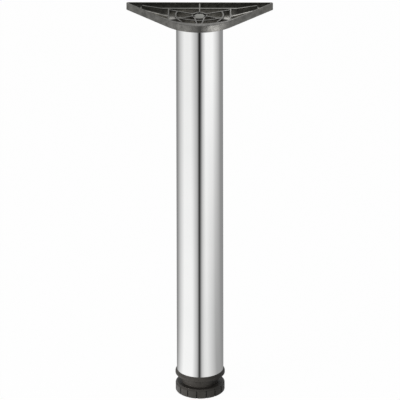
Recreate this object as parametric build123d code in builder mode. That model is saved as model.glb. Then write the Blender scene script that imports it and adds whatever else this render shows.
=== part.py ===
from build123d import *
import os
from math import cos, radians, sin, sqrt

# Table leg: chrome tube, ribbed triangular head plate and screw-adjustable foot.
# Origin on the tube's axis at the floor, +Z up, the plate's rounded corner towards -Y.

# Whole leg
leg_height = 710.0
tube_diameter = 80.0
tube_wall = 1.5
fit_clearance = 0.1
slide_clearance = 0.5

# Mounting plate, seen from above
plate_height = 12.7
plate_half_width = 125.0
plate_back = 50.0
tip_side = 4.2
corner_radius = 77.0
back_tip_fillet = 3.2
side_tip_fillet = 1.5
plate_edge_chamfer = 0.5

# Tray of the mounting plate
tray_depth = 7.2
rim_width = 2.4
front_land = 10.3
tip_land = 4.5
tray_tip_fillet = 0.8
ramp_start = 80.0
ramp_end = 100.0
tip_land_depth = 4.6

# Ribs of the mounting plate
rib_width = 2.2
rib_drop = 0.8
hub_radius = 13.5
hub_drop = 1.6
arm_angle = 22.0
arm_reach = 57.0
ring_offset = 0.5
ring_back_angle = 22.0
ring_front_angle = 42.0
arc_rib_radius = 66.0
arc_rib_front = 22.0
arc_rib_half_angle = 36.0
fork_back_x = 8.4
fork_front_x = 2.2
bow_rib_width = 3.6
bow_rib_y = 26.4
bow_rib_bend = 64.0
bow_end_x = 98.0
bow_end_y = 38.3
wing_rib_drop = 4.6
wing_rib_start = 1.6
wing_rib_end = 30.0

# Screw holes of the mounting plate
screw_hole_radius = 2.75
screw_sink_radius = 5.2
tip_hole_x = 104.0
tip_hole_y = 40.0
inner_hole_x = 62.0
inner_hole_y = 39.5

# Clamp at the head
spigot_depth = 6.0
spigot_wall = 3.5
head_plate_thickness = 5.0
clamp_thread_radius = 5.0
clamp_hole_radius = 5.25
clamp_head_across_flats = 17.0
clamp_head_height = 5.4
clamp_seat_depth = 2.3
clamp_pocket_radius = 11.0
clamp_shank_spare = 2.0
washer_radius = 10.5
washer_thickness = 1.6
head_nut_height = 8.0

# Foot
foot_overhang = 2.1
foot_disc_height = 16.0
foot_top_chamfer = 3.2
foot_bottom_chamfer = 0.7
neck_shown = 14.8
neck_length = 35.0
neck_wall = 3.0
foot_web_top = 3.0
foot_boss_radius = 13.0
foot_boss_height = 9.0
foot_rib_width = 2.0
foot_rib_height = 7.0
foot_rib_count = 6
groove_count = 16
groove_width = 2.2
groove_depth = 1.6
groove_turn = -97.4

# Glide pad under the foot
pad_inset = 9.1
pad_thickness = 3.0
pad_proud = 1.0
pad_edge_chamfer = 0.6

# Collar at the tube's lower end
collar_wall = 6.9
ring_overhang = 2.5
ring_height = 4.6
flare_height = 4.6
ring_top_chamfer = 0.5
ring_bottom_chamfer = 1.2
collar_boss_gap = 24.0
collar_seat_thickness = 4.0
collar_boss_radius = 14.5
collar_spoke_height = 12.0
collar_spoke_width = 3.0
collar_spoke_count = 6
collar_spoke_turn = 30.0

# Stem and its nut
stem_radius = 6.0
stem_hole_radius = 6.2
stem_across_flats = 19.0
stem_head_height = 7.5
stem_spare = 14.0
thread_clearance = 0.05
stem_nut_height = 10.0
end_chamfer = 1.0

# Heights worked out from the sizes above
tube_radius = tube_diameter / 2
tube_bore = tube_radius - tube_wall
plug_radius = tube_bore - fit_clearance
collar_bore = plug_radius - collar_wall
neck_radius = collar_bore - slide_clearance
foot_radius = tube_radius + foot_overhang
pad_radius = foot_radius - pad_inset
ring_radius = tube_radius + ring_offset
foot_top = pad_proud + foot_disc_height
ring_bottom = foot_top + neck_shown
ring_top = ring_bottom + ring_height
tube_bottom = ring_top + flare_height
plate_bottom = leg_height - plate_height
tray_floor = leg_height - tray_depth
neck_top = foot_top + neck_length
boss_bottom = neck_top + collar_boss_gap
nut_bottom = boss_bottom + collar_seat_thickness
collar_top = nut_bottom + stem_nut_height
stem_top = collar_top + stem_spare
head_plate_top = plate_bottom - spigot_depth - fit_clearance
head_plate_bottom = head_plate_top - head_plate_thickness
clamp_seat = tray_floor - clamp_seat_depth
clamp_head_bottom = clamp_seat + washer_thickness
head_nut_bottom = head_plate_bottom - head_nut_height

# How far a right-angled corner is cut back by an arc, as a share of the arc's radius
corner_share = sqrt(2) - 1


def rounded_triangle(half_width, back, apex, radius, back_fillet, side_fillet):
    """Right-angled triangle seen from above, both tips clipped and the corner at -Y rounded.

    The sides would meet at the apex, this far in front of the tube's axis.
    """
    tangent_x = radius / sqrt(2)
    tangent_y = tangent_x - apex
    clip_y = half_width - apex
    with BuildSketch() as plan:
        with BuildLine():
            Polyline(
                (tangent_x, tangent_y),
                (half_width, clip_y),
                (half_width, back),
                (-half_width, back),
                (-half_width, clip_y),
                (-tangent_x, tangent_y),
            )
            ThreePointArc((-tangent_x, tangent_y), (0, corner_share * radius - apex), (tangent_x, tangent_y))
        make_face()
        for side in (0, -1):
            fillet(plan.vertices().group_by(Axis.X)[side].sort_by(Axis.Y)[-1], back_fillet)
        for side in (0, -1):
            fillet(plan.vertices().group_by(Axis.X)[side].sort_by(Axis.Y)[0], side_fillet)
    return plan.sketch_local


# Plan of the mounting plate and of its tray, whose front arc runs into the straight sides
plate_apex = plate_half_width - plate_back + tip_side
plate_front = plate_apex - corner_share * corner_radius
plate_outline = rounded_triangle(
    plate_half_width, plate_back, plate_apex, corner_radius, back_tip_fillet, side_tip_fillet
)
tray_half_width = plate_half_width - tip_land
tray_back = plate_back - rim_width
tray_apex = plate_apex - rim_width * sqrt(2)
tray_front = plate_front - front_land
tray_corner_radius = (tray_apex - tray_front) / corner_share
tray_outline = rounded_triangle(
    tray_half_width, tray_back, tray_apex, tray_corner_radius, tray_tip_fillet, tray_tip_fillet
)

# Straight ribs as start, end, width and drop of the top below the plate's top
arm_x = arm_reach * cos(radians(arm_angle))
arm_y = arm_reach * sin(radians(arm_angle))
fork_back_y = -sqrt(hub_radius**2 - fork_back_x**2)
back_spoke = ((0, 0), (0, plate_back), rib_width, rib_drop)
middle_bow = ((-bow_rib_bend, bow_rib_y), (bow_rib_bend, bow_rib_y), bow_rib_width, rib_drop)
straight_ribs = [back_spoke, middle_bow]
for side in (-1, 1):
    arm = ((-side * arm_x, -arm_y), (side * arm_x, arm_y), rib_width, rib_drop)
    fork_leg = ((side * fork_back_x, fork_back_y), (side * fork_front_x, -plate_front), rib_width, rib_drop)
    cross_rib = ((side * arm_x, -plate_front), (side * arm_x, bow_rib_y), rib_width, rib_drop)
    bow_end = ((side * bow_rib_bend, bow_rib_y), (side * bow_end_x, bow_end_y), rib_width, rib_drop)
    wing_rib = ((side * arm_x, wing_rib_start), (side * ramp_end, wing_rib_end), rib_width, wing_rib_drop)
    straight_ribs += [arm, fork_leg, cross_rib, bow_end, wing_rib]

# Curved ribs: flat arc in front of the hub, and a part of the ring over the tube's wall on each side
ring_sweep = ring_front_angle + ring_back_angle
curved_ribs = [
    ((0, arc_rib_radius - arc_rib_front), arc_rib_radius, -90 - arc_rib_half_angle, 2 * arc_rib_half_angle),
    ((0, 0), ring_radius, -ring_front_angle, ring_sweep),
    ((0, 0), ring_radius, 180 - ring_back_angle, ring_sweep),
]

# Hollow of the tray, with the ribs, hub and sloping wing floors left out of it
with BuildPart() as tray_hollow:
    with BuildSketch(Plane.XY.offset(tray_floor)):
        add(tray_outline)
    extrude(amount=tray_depth)
    for start, end, width, drop in straight_ribs:
        with BuildSketch(Plane.XY.offset(tray_floor)):
            with BuildLine():
                Line(start, end)
            trace(line_width=width)
        extrude(amount=tray_depth - drop, mode=Mode.SUBTRACT)
    for centre, radius, start_angle, sweep_angle in curved_ribs:
        with BuildSketch(Plane.XY.offset(tray_floor)):
            with BuildLine():
                CenterArc(centre, radius, start_angle, sweep_angle)
            trace(line_width=rib_width)
        extrude(amount=tray_depth - rib_drop, mode=Mode.SUBTRACT)
    with BuildSketch(Plane.XY.offset(tray_floor)):
        Circle(hub_radius)
    extrude(amount=tray_depth - hub_drop, mode=Mode.SUBTRACT)
    with BuildSketch(Plane.XZ):
        with BuildLine():
            Polyline(
                (ramp_start, tray_floor),
                (plate_half_width, tray_floor),
                (plate_half_width, leg_height - tip_land_depth),
                (ramp_end, leg_height - tip_land_depth),
                close=True,
            )
        make_face()
        mirror(about=Plane.YZ)
    extrude(amount=plate_back, both=True, mode=Mode.SUBTRACT)

with BuildPart() as mounting_plate:
    with BuildSketch(Plane.XY.offset(plate_bottom)):
        add(plate_outline)
    extrude(amount=plate_height)
    outer_edges = mounting_plate.edges().group_by(Axis.Z)
    chamfer(outer_edges[-1] + outer_edges[0], plate_edge_chamfer)
    add(tray_hollow.part, mode=Mode.SUBTRACT)
    with BuildSketch(Plane.XY.offset(plate_bottom)):
        Circle(plug_radius)
        Circle(plug_radius - spigot_wall, mode=Mode.SUBTRACT)
    extrude(amount=-spigot_depth)
    with BuildSketch(Plane.XY.offset(clamp_seat)):
        Circle(clamp_pocket_radius)
    extrude(amount=leg_height - clamp_seat, mode=Mode.SUBTRACT)
    with BuildSketch(Plane.XY.offset(plate_bottom)):
        Circle(clamp_hole_radius)
    extrude(amount=plate_height, mode=Mode.SUBTRACT)
    hole_places = [
        (side * x, y)
        for side in (-1, 1)
        for x, y in ((tip_hole_x, tip_hole_y), (inner_hole_x, inner_hole_y))
    ]
    for x, y in hole_places:
        with Locations(Plane(origin=(x, y, plate_bottom), z_dir=(0, 0, -1))):
            CounterSinkHole(screw_hole_radius, screw_sink_radius)

# Chrome tube
with BuildPart() as leg_tube:
    with BuildSketch(Plane.XY.offset(tube_bottom)):
        Circle(tube_radius)
        Circle(tube_bore, mode=Mode.SUBTRACT)
    extrude(amount=plate_bottom - tube_bottom)

# Steel disc fixed in the tube's upper end
with BuildPart() as head_plate:
    with BuildSketch(Plane.XY.offset(head_plate_bottom)):
        Circle(plug_radius)
        Circle(clamp_hole_radius, mode=Mode.SUBTRACT)
    extrude(amount=head_plate_thickness)
    chamfer(head_plate.edges().group_by(Axis.Z)[0].sort_by(SortBy.LENGTH)[-1], end_chamfer)

with BuildPart() as head_nut:
    with BuildSketch(Plane.XY.offset(head_nut_bottom)):
        RegularPolygon(clamp_head_across_flats / 2, 6, major_radius=False)
        Circle(clamp_thread_radius + thread_clearance, mode=Mode.SUBTRACT)
    extrude(amount=head_nut_height)

with BuildPart() as bolt_washer:
    with BuildSketch(Plane.XY.offset(clamp_seat)):
        Circle(washer_radius)
        Circle(clamp_hole_radius, mode=Mode.SUBTRACT)
    extrude(amount=washer_thickness)

with BuildPart() as clamp_bolt:
    with BuildSketch(Plane.XY.offset(clamp_head_bottom)):
        RegularPolygon(clamp_head_across_flats / 2, 6, major_radius=False)
    extrude(amount=clamp_head_height)
    chamfer(clamp_bolt.edges().group_by(Axis.Z)[-1], end_chamfer / 2)
    with BuildSketch(Plane.XY.offset(clamp_head_bottom)):
        Circle(clamp_thread_radius)
    extrude(amount=head_nut_bottom - clamp_shank_spare - clamp_head_bottom)
    chamfer(clamp_bolt.edges().group_by(Axis.Z)[0], end_chamfer)

# Collar: plug in the tube, flared ring below it, and a boss on spokes for the stem nut
with BuildPart() as foot_collar:
    with BuildSketch(Plane.XZ):
        with BuildLine():
            Polyline(
                (collar_bore, ring_bottom),
                (tube_radius + ring_overhang, ring_bottom),
                (tube_radius + ring_overhang, ring_top),
                (tube_radius, tube_bottom),
                (plug_radius, tube_bottom),
                (plug_radius, collar_top),
                (collar_bore, collar_top),
                close=True,
            )
        make_face()
    revolve(axis=Axis.Z)
    ring_edges = foot_collar.edges().filter_by(GeomType.CIRCLE).sort_by(SortBy.RADIUS)[-2:].sort_by(Axis.Z)
    chamfer(ring_edges[0], ring_bottom_chamfer)
    chamfer(ring_edges[1], ring_top_chamfer)
    chamfer(foot_collar.edges().group_by(Axis.Z)[-1].sort_by(SortBy.RADIUS)[-1], end_chamfer)
    with BuildSketch(Plane.XY.offset(boss_bottom)):
        Circle(collar_boss_radius)
    extrude(amount=collar_top - boss_bottom)
    with BuildSketch(Plane.XY.offset(boss_bottom)):
        with PolarLocations(collar_bore / 2, collar_spoke_count, start_angle=collar_spoke_turn):
            Rectangle(collar_bore, collar_spoke_width)
    extrude(amount=collar_spoke_height)
    with BuildSketch(Plane.XY.offset(nut_bottom)):
        RegularPolygon(stem_across_flats / 2 + fit_clearance, 6, major_radius=False)
    extrude(amount=stem_nut_height, mode=Mode.SUBTRACT)
    with BuildSketch(Plane.XY.offset(boss_bottom)):
        Circle(stem_hole_radius)
    extrude(amount=collar_seat_thickness, mode=Mode.SUBTRACT)

with BuildPart() as stem_nut:
    with BuildSketch(Plane.XY.offset(nut_bottom)):
        RegularPolygon(stem_across_flats / 2, 6, major_radius=False)
        Circle(stem_radius + thread_clearance, mode=Mode.SUBTRACT)
    extrude(amount=stem_nut_height)

# Foot: grooved disc and hollow neck, with a pocket for the stem's head below
pad_recess_top = pad_thickness + fit_clearance
head_pocket_top = pad_recess_top + stem_head_height + fit_clearance
cup_floor = head_pocket_top + foot_web_top

with BuildPart() as screw_foot:
    with BuildSketch(Plane.XY.offset(pad_proud)):
        Circle(foot_radius)
    extrude(amount=foot_disc_height)
    chamfer(screw_foot.edges().group_by(Axis.Z)[-1], foot_top_chamfer)
    chamfer(screw_foot.edges().group_by(Axis.Z)[0], foot_bottom_chamfer)
    with BuildSketch(Plane.XY.offset(pad_proud)):
        with PolarLocations(foot_radius, groove_count, start_angle=groove_turn):
            Rectangle(2 * groove_depth, groove_width)
    extrude(amount=foot_disc_height, mode=Mode.SUBTRACT)
    with BuildSketch(Plane.XY.offset(foot_top)):
        Circle(neck_radius)
    extrude(amount=neck_length)
    chamfer(screw_foot.edges().group_by(Axis.Z)[-1], end_chamfer)
    with BuildSketch(Plane.XY.offset(cup_floor)):
        Circle(neck_radius - neck_wall)
    extrude(amount=neck_top - cup_floor, mode=Mode.SUBTRACT)
    with BuildSketch(Plane.XY.offset(cup_floor)):
        Circle(foot_boss_radius)
    extrude(amount=foot_boss_height)
    with BuildSketch(Plane.XY.offset(cup_floor)):
        with PolarLocations((neck_radius - neck_wall) / 2, foot_rib_count):
            Rectangle(neck_radius - neck_wall, foot_rib_width)
    extrude(amount=foot_rib_height)
    with BuildSketch(Plane.XY.offset(pad_proud)):
        Circle(pad_radius + fit_clearance)
    extrude(amount=pad_recess_top - pad_proud, mode=Mode.SUBTRACT)
    with BuildSketch(Plane.XY.offset(pad_recess_top)):
        RegularPolygon(stem_across_flats / 2 + fit_clearance, 6, major_radius=False)
    extrude(amount=head_pocket_top - pad_recess_top, mode=Mode.SUBTRACT)
    with BuildSketch(Plane.XY.offset(head_pocket_top)):
        Circle(stem_hole_radius)
    extrude(amount=foot_web_top + foot_boss_height, mode=Mode.SUBTRACT)

with BuildPart() as threaded_stem:
    with BuildSketch(Plane.XY.offset(head_pocket_top - stem_head_height)):
        RegularPolygon(stem_across_flats / 2, 6, major_radius=False)
    extrude(amount=stem_head_height)
    with BuildSketch(Plane.XY.offset(head_pocket_top)):
        Circle(stem_radius)
    extrude(amount=stem_top - head_pocket_top)
    chamfer(threaded_stem.edges().group_by(Axis.Z)[-1], end_chamfer)

with BuildPart() as glide_pad:
    with BuildSketch():
        Circle(pad_radius)
    extrude(amount=pad_thickness)
    chamfer(glide_pad.edges().group_by(Axis.Z)[0], pad_edge_chamfer)

# One file for each piece
pieces = {
    "mounting_plate": mounting_plate,
    "clamp_bolt": clamp_bolt,
    "bolt_washer": bolt_washer,
    "head_plate": head_plate,
    "head_nut": head_nut,
    "leg_tube": leg_tube,
    "foot_collar": foot_collar,
    "stem_nut": stem_nut,
    "threaded_stem": threaded_stem,
    "screw_foot": screw_foot,
    "glide_pad": glide_pad,
}
os.makedirs("parts", exist_ok=True)
for piece_name, piece in pieces.items():
    piece.part.label = piece_name
    export_step(piece.part, f"parts/{piece_name}.step")
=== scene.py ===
from math import cos, pi, radians, sin, sqrt

import bpy
from mathutils import Matrix, Vector


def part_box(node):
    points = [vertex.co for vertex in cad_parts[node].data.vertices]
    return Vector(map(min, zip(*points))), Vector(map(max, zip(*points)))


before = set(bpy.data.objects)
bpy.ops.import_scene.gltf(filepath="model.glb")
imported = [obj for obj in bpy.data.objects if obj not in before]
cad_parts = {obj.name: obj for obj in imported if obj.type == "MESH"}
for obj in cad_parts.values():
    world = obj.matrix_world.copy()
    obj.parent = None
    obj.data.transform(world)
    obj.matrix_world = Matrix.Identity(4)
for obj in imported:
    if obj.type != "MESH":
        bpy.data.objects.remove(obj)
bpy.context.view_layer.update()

# Camera, fitted to the photograph's outline: angles in degrees, lengths in metres, sensor in millimetres
CAMERA_AZIMUTH = 0.5
CAMERA_ELEVATION = 25.5
CAMERA_ROLL = -0.11
CAMERA_DISTANCE = 28.0
CAMERA_TARGET = (0.0003, 0.0, 0.3598)
PIXELS_PER_METRE = 584.0
IMAGE_SIDE = 400
SENSOR_WIDTH = 36.0

# Studio floor in the metal, in degrees from the front: a room that is dimmer behind, and a soft dark card
ROOM_FRONT_LEVEL = 0.33
ROOM_BACK_LEVEL = 0.24
ROOM_DIMS = (105, 165)
CARD_LEVEL = 0.06
CARD_EDGE = 9
NEAR_CARD = (-2, 0.5)
FAR_CARD = (0.5, 2.5)
FAR_FLOOR = 1.35

# White panels to its left and right: where each starts, is full, starts to fade and ends, and its brightness
NEAR_PANELS = ((-136, -80, -34, -5, 0.68), (-6, 20, 34, 80, 0.48))
FAR_PANELS = ((-136, -80, -44, -4, 0.58), (8, 29, 66, 120, 0.67))

# Sky as the metal mirrors it: share of the way from front to back, and brightness
SKY_FRONT = (0.35, 0.50)
SKY_BACK = (0.75, 0.70)

# Where floor gives way to sky in the metal: share of the way from straight down to straight up
HORIZON_START = 0.45
HORIZON_END = 0.55

# World and floor as the camera and all but mirroring surfaces see them
WHITE_LEVEL = 0.985
AMBIENT_BRIGHTNESS = 0.42
FLOOR_SIDE = 40.0
FLOOR_DROP = 0.0001
FLOOR_GREY = 0.9
FLOOR_GLOW = 0.98

# Lights: place, point faced, side in metres, watts and, where it isn't for all, the nodes it is for
HEAD_NODES = ("mounting_plate", "clamp_bolt")
LIGHTS = {
    "key": ((-3.2, -2.2, 1.6), (0, 0, 0.2), 1.6, 60.0, ()),
    "foot_light": ((-0.80, -0.80, 0.08), (0, 0, 0.03), 0.14, 14.0, ()),
    "wing_light": ((0.066, 0.125, 0.762), (0.066, -0.005, 0.703), 0.03, 0.002, HEAD_NODES),
    "top_light": ((0.04, 0.30, 0.85), (0.02, 0.0, 0.705), 0.14, 0.032, HEAD_NODES),
    "right_light": ((0.285, -0.39, 0.645), (0.02, -0.04, 0.70), 0.22, 0.82, HEAD_NODES),
    "left_light": ((-0.26, -0.40, 0.645), (-0.02, -0.04, 0.70), 0.22, 0.22, HEAD_NODES),
}

# Cast plate's outline: its box, its rounded corner, the point where its front edges would meet, its rim
PLATE_LOW, PLATE_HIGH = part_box("mounting_plate")
CORNER_RADIUS = 0.077
CORNER_CENTRE_Y = PLATE_LOW[1] + CORNER_RADIUS
CORNER_END_Y = CORNER_CENTRE_Y - CORNER_RADIUS / sqrt(2)
APEX_REACH = CORNER_RADIUS * sqrt(2) - CORNER_CENTRE_Y
RIM_WIDTH = 0.00192
RIM_DEPTH = 0.0024

# Cast plate's grey: on its outside; lighter in its pockets as painted light, darker in the channel along its
# back as painted shade, and in its two wings lightest along the edge as a painted highlight and darker in
# the middle as painted shade
OUTSIDE_LEVEL = 0.17
POCKET_PAINTED_LIGHT_LEVEL = 0.42
CHANNEL_PAINTED_SHADE_LEVEL = 0.20
CHANNEL_START_Y = 0.026
CHANNEL_END_Y = 0.032
WING_START_X = 0.050
WING_END_X = 0.062
WING_EDGE_PAINTED_HIGHLIGHT_LEVEL = 0.55
WING_MIDDLE_PAINTED_SHADE_LEVEL = 0.25
WING_EDGE_DEPTH = 0.011
WING_MIDDLE_DEPTH = 0.021

# Finishes
METAL_TINT = (1.0, 0.98, 0.92)
MOTTLE_DARK = 0.2
MOTTLE_LIGHT = 1.8
PLASTIC_DARK = (0.90, 0.83, 0.74)
PLASTIC_LIGHT = (1.15, 1.06, 0.95)
PLASTIC_SHINE = 0.25
NOISE_ROUGHNESS = 0.6
NOISE_LOW = 0.3
NOISE_HIGH = 0.7


# Node helpers
def link(tree, a, b):
    tree.links.new(a, b)


def grey(level):
    return (level, level, level, 1.0)


def math_node(tree, operation, a, b=None):
    node = tree.nodes.new("ShaderNodeMath")
    node.operation = operation
    for socket, value in zip(node.inputs, (a, b)):
        if value is None:
            continue
        if isinstance(value, (int, float)):
            socket.default_value = value
        else:
            link(tree, value, socket)
    return node.outputs[0]


def ramp_node(tree, factor, stops, interpolation="LINEAR"):
    node = tree.nodes.new("ShaderNodeValToRGB")
    node.color_ramp.interpolation = interpolation
    elements = node.color_ramp.elements
    while len(elements) < len(stops):
        elements.new(0.5)
    for element, (position, colour) in zip(elements, stops):
        element.position = position
        element.color = colour
    link(tree, factor, node.inputs[0])
    return node.outputs[0]


def between(tree, factor, low, high, start=0.0, end=1.0):
    """The factor's run from start to end, turned into one from low to high and held at both ends."""
    node = tree.nodes.new("ShaderNodeMapRange")
    node.inputs["From Min"].default_value = start
    node.inputs["From Max"].default_value = end
    node.inputs["To Min"].default_value = low
    node.inputs["To Max"].default_value = high
    link(tree, factor, node.inputs["Value"])
    return node.outputs[0]


def blend(tree, factor, a, b):
    """From a, where the factor is 0, to b, where it is 1. A plain number stands for a grey."""
    mix = tree.nodes.new("ShaderNodeMix")
    mix.data_type = "RGBA"
    link(tree, factor, mix.inputs["Factor"])
    for socket, value in ((mix.inputs["A"], a), (mix.inputs["B"], b)):
        if isinstance(value, (int, float)):
            socket.default_value = grey(value)
        else:
            link(tree, value, socket)
    return mix.outputs["Result"]


def mix_shaders(tree, factor, a, b):
    mix = tree.nodes.new("ShaderNodeMixShader")
    link(tree, factor, mix.inputs[0])
    link(tree, a, mix.inputs[1])
    link(tree, b, mix.inputs[2])
    return mix.outputs[0]


def axes(tree, vector):
    parts = tree.nodes.new("ShaderNodeSeparateXYZ")
    link(tree, vector, parts.inputs[0])
    return parts.outputs


def background(tree, level=1.0):
    shader = tree.nodes.new("ShaderNodeBackground")
    shader.inputs["Color"].default_value = grey(1.0)
    shader.inputs["Strength"].default_value = level
    return shader


def noise(tree, scale, detail=4.0, stretch=(1, 1, 1)):
    place = tree.nodes.new("ShaderNodeTexCoord")
    mapping = tree.nodes.new("ShaderNodeMapping")
    mapping.inputs["Scale"].default_value = stretch
    link(tree, place.outputs["Object"], mapping.inputs["Vector"])
    texture = tree.nodes.new("ShaderNodeTexNoise")
    texture.inputs["Scale"].default_value = scale
    texture.inputs["Detail"].default_value = detail
    texture.inputs["Roughness"].default_value = NOISE_ROUGHNESS
    link(tree, mapping.outputs[0], texture.inputs["Vector"])
    return texture.outputs["Fac"]


# Studio
def studio_brightness(tree, x, y, panels, card):
    """Brightness of the studio in the direction x, y: the room and its panels, shaded by the card."""
    azimuth = math_node(tree, "ARCTAN2", x, math_node(tree, "MULTIPLY", y, -1.0))
    angle = math_node(tree, "MULTIPLY", azimuth, 180 / pi)
    total = between(tree, math_node(tree, "ABSOLUTE", angle), ROOM_FRONT_LEVEL, ROOM_BACK_LEVEL, *ROOM_DIMS)
    for start, full, fading, end, level in panels:
        rise = between(tree, angle, 0.0, level, start, full)
        fall = between(tree, angle, 1.0, 0.0, fading, end)
        total = math_node(tree, "ADD", total, math_node(tree, "MULTIPLY", rise, fall))
    middle, half_width = card
    offset = math_node(tree, "ABSOLUTE", math_node(tree, "SUBTRACT", angle, middle))
    shade = between(tree, offset, CARD_LEVEL, 1.0, half_width, half_width + CARD_EDGE)
    return math_node(tree, "MULTIPLY", total, shade)


def as_share(tree, axis):
    """A direction's part along an axis, from -1 to 1, as a share from 0 to 1."""
    return math_node(tree, "ADD", math_node(tree, "MULTIPLY", axis, 0.5), 0.5)


def make_world():
    """White to the camera, a studio to glossy rays and plain light to the rest."""
    world = bpy.data.worlds.new("studio")
    bpy.context.scene.world = world
    world.use_nodes = True
    tree = world.node_tree
    tree.nodes.clear()
    x, y, z = axes(tree, tree.nodes.new("ShaderNodeTexCoord").outputs["Generated"])
    walls = studio_brightness(tree, x, y, FAR_PANELS, FAR_CARD)
    sky_stops = [(position, grey(level)) for position, level in (SKY_FRONT, SKY_BACK)]
    sky = ramp_node(tree, as_share(tree, y), sky_stops, "EASE")
    rise_stops = [(HORIZON_START, grey(0.0)), (HORIZON_END, grey(1.0))]
    above = ramp_node(tree, as_share(tree, z), rise_stops, "EASE")
    studio = background(tree)
    link(tree, blend(tree, above, walls, sky), studio.inputs["Color"])
    ambient = background(tree, AMBIENT_BRIGHTNESS)
    white = background(tree, WHITE_LEVEL)
    path = tree.nodes.new("ShaderNodeLightPath")
    unseen = mix_shaders(tree, path.outputs["Is Glossy Ray"], ambient.outputs[0], studio.outputs[0])
    light = mix_shaders(tree, path.outputs["Is Camera Ray"], unseen, white.outputs[0])
    output = tree.nodes.new("ShaderNodeOutputWorld")
    link(tree, light, output.inputs["Surface"])


def floor_material():
    """Almost white to the camera with a faint shadow, panels to glossy rays, and clear from below."""
    material = bpy.data.materials.new("pale_floor")
    material.use_nodes = True
    tree = material.node_tree
    tree.nodes.clear()
    place = tree.nodes.new("ShaderNodeTexCoord").outputs["Object"]
    x, y, z = axes(tree, place)
    reach = tree.nodes.new("ShaderNodeVectorMath")
    reach.operation = "LENGTH"
    link(tree, place, reach.inputs[0])
    near = studio_brightness(tree, x, y, NEAR_PANELS, NEAR_CARD)
    far = studio_brightness(tree, x, y, FAR_PANELS, FAR_CARD)
    mirrored = blend(tree, math_node(tree, "DIVIDE", reach.outputs["Value"], FAR_FLOOR), near, far)
    path = tree.nodes.new("ShaderNodeLightPath")
    glow = tree.nodes.new("ShaderNodeEmission")
    link(tree, blend(tree, path.outputs["Is Glossy Ray"], 1.0, mirrored), glow.inputs["Color"])
    diffuse = tree.nodes.new("ShaderNodeBsdfDiffuse")
    diffuse.inputs["Color"].default_value = grey(FLOOR_GREY)
    seen = math_node(tree, "MULTIPLY", path.outputs["Is Camera Ray"], FLOOR_GLOW)
    glowing = math_node(tree, "ADD", seen, path.outputs["Is Glossy Ray"])
    pale = mix_shaders(tree, glowing, diffuse.outputs[0], glow.outputs[0])
    below = tree.nodes.new("ShaderNodeNewGeometry").outputs["Backfacing"]
    clear = tree.nodes.new("ShaderNodeBsdfTransparent")
    output = tree.nodes.new("ShaderNodeOutputMaterial")
    link(tree, mix_shaders(tree, below, pale, clear.outputs[0]), output.inputs["Surface"])
    return material


def make_floor():
    mesh = bpy.data.meshes.new("floor")
    half = FLOOR_SIDE / 2
    outline = ((-half, -half), (half, -half), (half, half), (-half, half))
    corners = [(x, y, -FLOOR_DROP) for x, y in outline]
    mesh.from_pydata(corners, [], [(0, 1, 2, 3)])
    mesh.materials.append(floor_material())
    floor = bpy.data.objects.new("floor", mesh)
    bpy.context.scene.collection.objects.link(floor)


def make_light(name, place, target, side, power, only):
    """An area light: for all and unmirrored, or for the named nodes alone and mirrored by them."""
    data = bpy.data.lights.new(name, "AREA")
    data.size = side
    data.energy = power
    light = bpy.data.objects.new(name, data)
    light.location = place
    light.rotation_euler = (Vector(target) - Vector(place)).to_track_quat("-Z", "Y").to_euler()
    light.visible_glossy = bool(only)
    light.visible_camera = False
    if only:
        lit = bpy.data.collections.new(name + "_lit")
        for node in only:
            lit.objects.link(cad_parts[node])
        light.light_linking.receiver_collection = lit
    bpy.context.scene.collection.objects.link(light)


def make_camera():
    azimuth = radians(CAMERA_AZIMUTH)
    elevation = radians(CAMERA_ELEVATION)
    back = Vector((sin(azimuth) * cos(elevation), -cos(azimuth) * cos(elevation), sin(elevation)))
    data = bpy.data.cameras.new("camera")
    data.sensor_width = SENSOR_WIDTH
    data.lens = PIXELS_PER_METRE * CAMERA_DISTANCE / IMAGE_SIDE * SENSOR_WIDTH
    data.clip_end = 2 * CAMERA_DISTANCE
    camera = bpy.data.objects.new("camera", data)
    camera.location = Vector(CAMERA_TARGET) + back * CAMERA_DISTANCE
    level = (-back).to_track_quat("-Z", "Y").to_matrix().to_4x4()
    camera.rotation_euler = (level @ Matrix.Rotation(radians(CAMERA_ROLL), 4, "Z")).to_euler()
    bpy.context.scene.collection.objects.link(camera)
    bpy.context.scene.camera = camera


# Materials
def new_surface(name, metallic=False):
    material = bpy.data.materials.new(name)
    material.use_nodes = True
    shader = material.node_tree.nodes["Principled BSDF"]
    if metallic:
        shader.inputs["Metallic"].default_value = 1.0
    return material, material.node_tree, shader


def vary_tint(tree, shader, scale, dark, light):
    stops = [(NOISE_LOW, (*dark, 1.0)), (NOISE_HIGH, (*light, 1.0))]
    link(tree, ramp_node(tree, noise(tree, scale), stops), shader.inputs["Base Color"])


def vary_roughness(tree, shader, scale, low, high, stretch=(1, 1, 1)):
    roughness = between(tree, noise(tree, scale, stretch=stretch), low, high)
    link(tree, roughness, shader.inputs["Roughness"])


def add_grain(tree, shader, scale, depth):
    bump = tree.nodes.new("ShaderNodeBump")
    bump.inputs["Strength"].default_value = 1.0
    bump.inputs["Distance"].default_value = depth
    link(tree, noise(tree, scale, detail=2.0), bump.inputs["Height"])
    link(tree, bump.outputs[0], shader.inputs["Normal"])


def chrome():
    """Polished chrome, its roughness drawn out along the tube."""
    material, tree, shader = new_surface("polished_chrome", metallic=True)
    vary_tint(tree, shader, scale=9.0, dark=(0.90, 0.905, 0.90), light=(0.93, 0.93, 0.925))
    vary_roughness(tree, shader, scale=60.0, low=0.02, high=0.045, stretch=(1, 1, 0.05))
    return material


def depth_from_side(tree, x, y):
    """How far a point of the plate lies inside its two straight front edges."""
    reach = math_node(tree, "SUBTRACT", math_node(tree, "ABSOLUTE", x), y)
    return math_node(tree, "DIVIDE", math_node(tree, "SUBTRACT", APEX_REACH, reach), sqrt(2))


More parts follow.
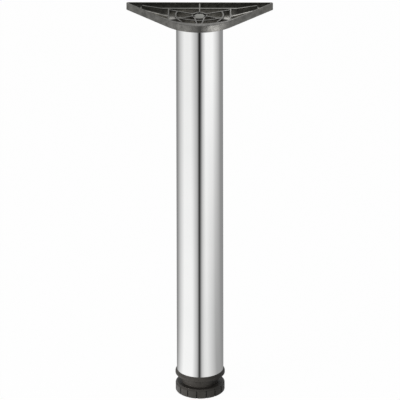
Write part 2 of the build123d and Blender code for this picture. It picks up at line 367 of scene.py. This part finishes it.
def depth_from_corner(tree, x, y):
    """How far a point of the plate lies inside its rounded corner, or 1 where the corner has ended."""
    behind = math_node(tree, "SUBTRACT", y, CORNER_CENTRE_Y)
    across = math_node(tree, "MULTIPLY", x, x)
    along = math_node(tree, "MULTIPLY", behind, behind)
    radius = math_node(tree, "SQRT", math_node(tree, "ADD", across, along))
    depth = math_node(tree, "SUBTRACT", CORNER_RADIUS, radius)
    return math_node(tree, "MAXIMUM", depth, math_node(tree, "GREATER_THAN", y, CORNER_END_Y))


def inside_of_rim(tree, x, y, z):
    """1 for what lies inside the plate's rim and below its top, 0 on the rim and the outer walls."""
    from_back = math_node(tree, "SUBTRACT", PLATE_HIGH[1], y)
    from_front = math_node(tree, "MINIMUM", depth_from_side(tree, x, y), depth_from_corner(tree, x, y))
    nearest = math_node(tree, "MINIMUM", from_back, from_front)
    within = math_node(tree, "GREATER_THAN", nearest, RIM_WIDTH)
    below = math_node(tree, "LESS_THAN", z, PLATE_HIGH[2] - RIM_DEPTH)
    return math_node(tree, "MULTIPLY", within, below)


def plate_grey_and_painted_light(tree, x, y, z):
    """The plate's grey with painted light and shade: lighter in its pockets as painted light, dark in its
    back channel as painted shade, lightest along its wings' edge as a painted highlight and darker in their
    middle as painted shade.
    """
    wing_painted_light = between(
        tree, depth_from_side(tree, x, y),
        WING_EDGE_PAINTED_HIGHLIGHT_LEVEL, WING_MIDDLE_PAINTED_SHADE_LEVEL, WING_EDGE_DEPTH, WING_MIDDLE_DEPTH,
    )
    in_wing = between(tree, math_node(tree, "ABSOLUTE", x), 0.0, 1.0, WING_START_X, WING_END_X)
    pocket = blend(tree, in_wing, POCKET_PAINTED_LIGHT_LEVEL, wing_painted_light)
    in_channel = between(tree, y, 0.0, 1.0, CHANNEL_START_Y, CHANNEL_END_Y)
    inside = blend(tree, in_channel, pocket, CHANNEL_PAINTED_SHADE_LEVEL)
    return blend(tree, inside_of_rim(tree, x, y, z), OUTSIDE_LEVEL, inside)


def cast_metal():
    """Mottled cast metal with a fine grain, its grey set by the place on the plate, with painted light and
    shade in its pockets, back channel and wings.
    """
    material, tree, shader = new_surface("cast_metal", metallic=True)
    x, y, z = axes(tree, tree.nodes.new("ShaderNodeTexCoord").outputs["Object"])
    mottle = between(tree, noise(tree, scale=110.0, detail=6.0), MOTTLE_DARK, MOTTLE_LIGHT)
    colour = tree.nodes.new("ShaderNodeVectorMath")
    colour.operation = "SCALE"
    colour.inputs[0].default_value = METAL_TINT
    # The grey holds painted light in the pockets, painted shade in the back channel and wing middles, and a
    # painted highlight along the wings' edge; the mottle is the metal's own random tone.
    level = math_node(tree, "MULTIPLY", plate_grey_and_painted_light(tree, x, y, z), mottle)
    link(tree, level, colour.inputs["Scale"])
    link(tree, colour.outputs[0], shader.inputs["Base Color"])
    vary_roughness(tree, shader, scale=180.0, low=0.20, high=0.52)
    add_grain(tree, shader, scale=500.0, depth=0.00003)
    return material


def moulded_plastic(name, level, roughness):
    """Dark, slightly warm plastic with a fine moulded grain."""
    material, tree, shader = new_surface(name)
    dark = [level * share for share in PLASTIC_DARK]
    light = [level * share for share in PLASTIC_LIGHT]
    vary_tint(tree, shader, scale=40.0, dark=dark, light=light)
    vary_roughness(tree, shader, 150.0, *roughness)
    shader.inputs["Specular IOR Level"].default_value = PLASTIC_SHINE
    add_grain(tree, shader, scale=1400.0, depth=0.00004)
    return material


def plated_steel():
    """Dull zinc plating with small spangles."""
    material, tree, shader = new_surface("zinc_plated_steel", metallic=True)
    vary_tint(tree, shader, scale=120.0, dark=(0.16, 0.16, 0.15), light=(0.24, 0.24, 0.22))
    vary_roughness(tree, shader, scale=260.0, low=0.24, high=0.40)
    add_grain(tree, shader, scale=700.0, depth=0.00005)
    return material


def dress(material, *names):
    for name in names:
        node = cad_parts[name]
        if not node.material_slots:
            node.data.materials.append(material)
        for slot in node.material_slots:
            slot.material = material


dress(chrome(), "leg_tube")
dress(cast_metal(), "mounting_plate")
dress(moulded_plastic("foot_plastic", level=0.032, roughness=(0.30, 0.44)), "foot_collar", "screw_foot")
dress(plated_steel(), "clamp_bolt", "bolt_washer", "head_plate", "head_nut", "stem_nut", "threaded_stem")
dress(moulded_plastic("pad_plastic", level=0.05, roughness=(0.50, 0.65)), "glide_pad")

make_world()
make_floor()
for light_name, settings in LIGHTS.items():
    make_light(light_name, *settings)
make_camera()

scene = bpy.context.scene
scene.view_settings.view_transform = "Standard"
